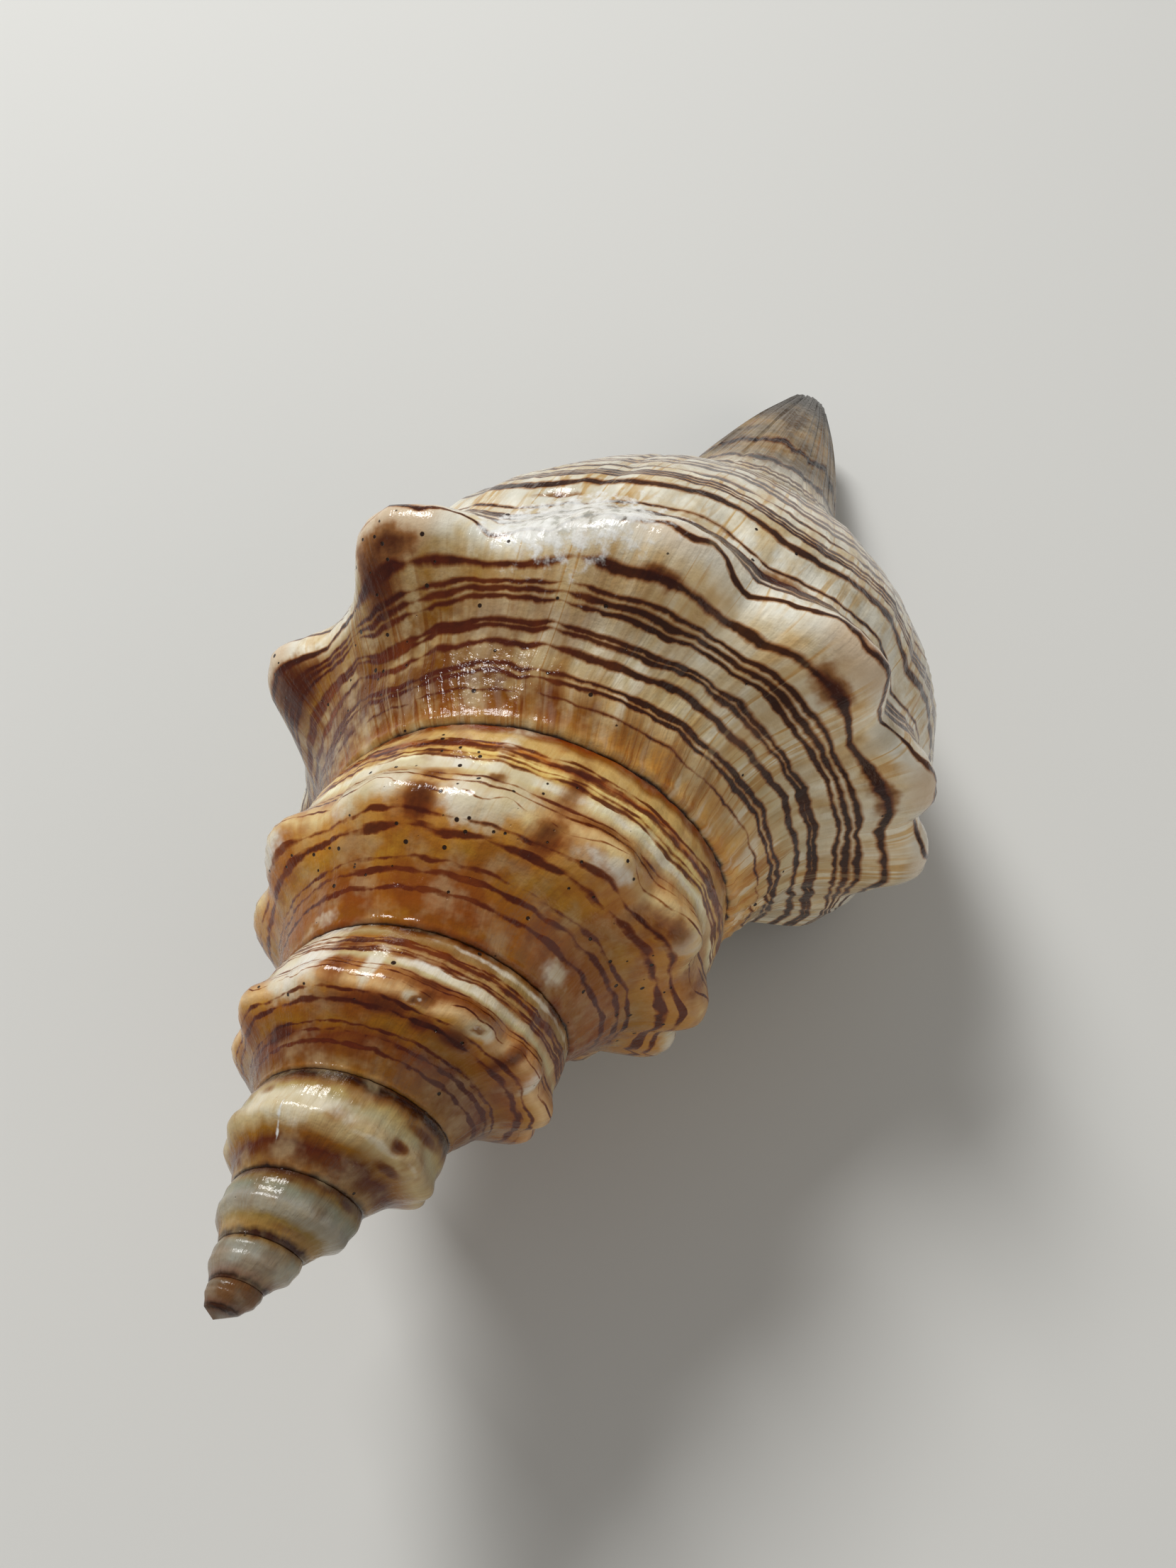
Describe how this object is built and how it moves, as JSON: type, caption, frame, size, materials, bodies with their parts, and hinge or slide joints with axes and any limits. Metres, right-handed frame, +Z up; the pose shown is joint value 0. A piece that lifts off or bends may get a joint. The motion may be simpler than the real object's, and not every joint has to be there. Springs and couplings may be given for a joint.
{
  "type": "horse conch shell",
  "caption": "Spindle-shaped sea snail shell with a tall knobbed spire, an open mouth and a tapering canal, lying on its mouth.",
  "frame": {"origin": "centre of the bounding box at the surface it lies on", "axes": "+Z up; +Y along the shell from the point of the spire to the canal; +X towards the outer lip"},
  "size_m": [0.0588, 0.1202, 0.0469],
  "materials": {
    "shell": "polished natural shell, ivory to amber with dark brown spiral lines"
  },
  "bodies": {
    "root": {"shell": "shell"}
  },
  "joints": []
}
